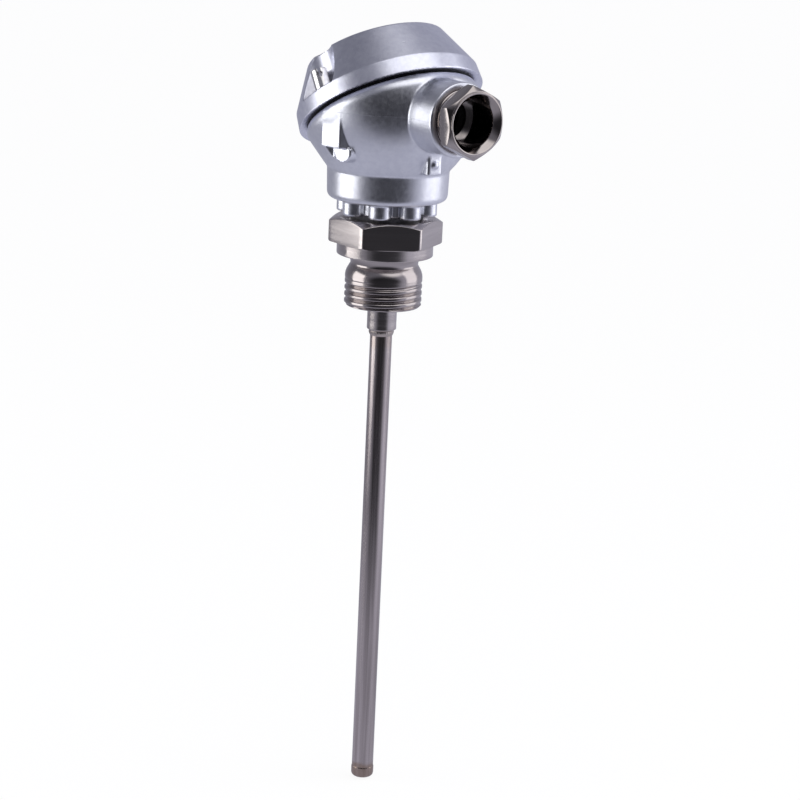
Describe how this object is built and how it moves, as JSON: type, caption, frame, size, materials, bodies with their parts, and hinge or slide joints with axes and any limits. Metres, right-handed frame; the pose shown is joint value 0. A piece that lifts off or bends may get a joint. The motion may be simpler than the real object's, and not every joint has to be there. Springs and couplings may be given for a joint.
{
  "type": "resistance thermometer",
  "caption": "Screw-in resistance thermometer: slim steel sheath, pipe-thread hex fitting and a cast slant-lid connection head with side cable entry.",
  "frame": {"origin": "centre of the sealing face under the collar of the process fitting", "axes": "+Z along the stem axis towards the connection head, +X out of the cable entry, XZ the plane of symmetry of the head"},
  "size_m": [0.0623, 0.0504, 0.2129],
  "materials": {
    "stainless_steel": "turned stainless steel, satin to polished",
    "drawn_tube": "drawn stainless tube with fine lengthwise streaks",
    "ceramic": null,
    "magnesia": null,
    "resin": "cast potting resin",
    "nickel_wire": "bare nickel wire",
    "glass_sleeve": "braided glass fibre",
    "cast_aluminium": "fine-grained satin die casting",
    "seal_fibre": "dark flat seal",
    "black_rubber": "smooth black rubber",
    "polished_steel": "bright zinc or nickel finish",
    "nickel_plate": "bright nickel plate on brass",
    "terminal_brass": "plain brass"
  },
  "bodies": {
    "base": {"process_fitting": "stainless_steel", "sheath_tube": "drawn_tube", "tip_cap": "drawn_tube", "sensor_element": "ceramic", "bore_insulators": "ceramic", "sheath_filling": "magnesia", "top_plug": "resin", "lead_wires": "nickel_wire", "lead_sleeves": "glass_sleeve", "head_body": "cast_aluminium", "neck_seal": "seal_fibre", "lid_gasket": "black_rubber", "gland_seal": "black_rubber", "gland_washer": "polished_steel", "terminal_block": "ceramic", "terminal_posts": "terminal_brass", "terminal_screws": "nickel_plate", "block_screws": "polished_steel", "earth_screw": "polished_steel", "earth_washer": "polished_steel"},
    "lid": {"head_lid": "cast_aluminium"},
    "screw_right": {"lid_screw_right": "polished_steel", "screw_clip_right": "polished_steel"},
    "screw_left": {"lid_screw_left": "polished_steel", "screw_clip_left": "polished_steel"},
    "pressure_screw": {"gland_screw": "nickel_plate"}
  },
  "joints": [
    {"name": "lid_lift", "type": "slide", "parent": "base", "child": "lid", "axis": [-0.5225, 0, 0.8526], "range_m": [0, 0.04]},
    {"name": "screw_right_turn", "type": "hinge", "parent": "lid", "child": "screw_right", "pos_m": [0.02517, 0.0203, 0.00047], "axis": [-0.5225, 0, 0.8526], "continuous": true},
    {"name": "screw_left_turn", "type": "hinge", "parent": "lid", "child": "screw_left", "pos_m": [0.02517, -0.0203, 0.00047], "axis": [-0.5225, 0, 0.8526], "continuous": true},
    {"name": "pressure_screw_turn", "type": "hinge", "parent": "base", "child": "pressure_screw", "pos_m": [0.033, 0, 0.0403], "axis": [1, 0, 0], "continuous": true}
  ]
}
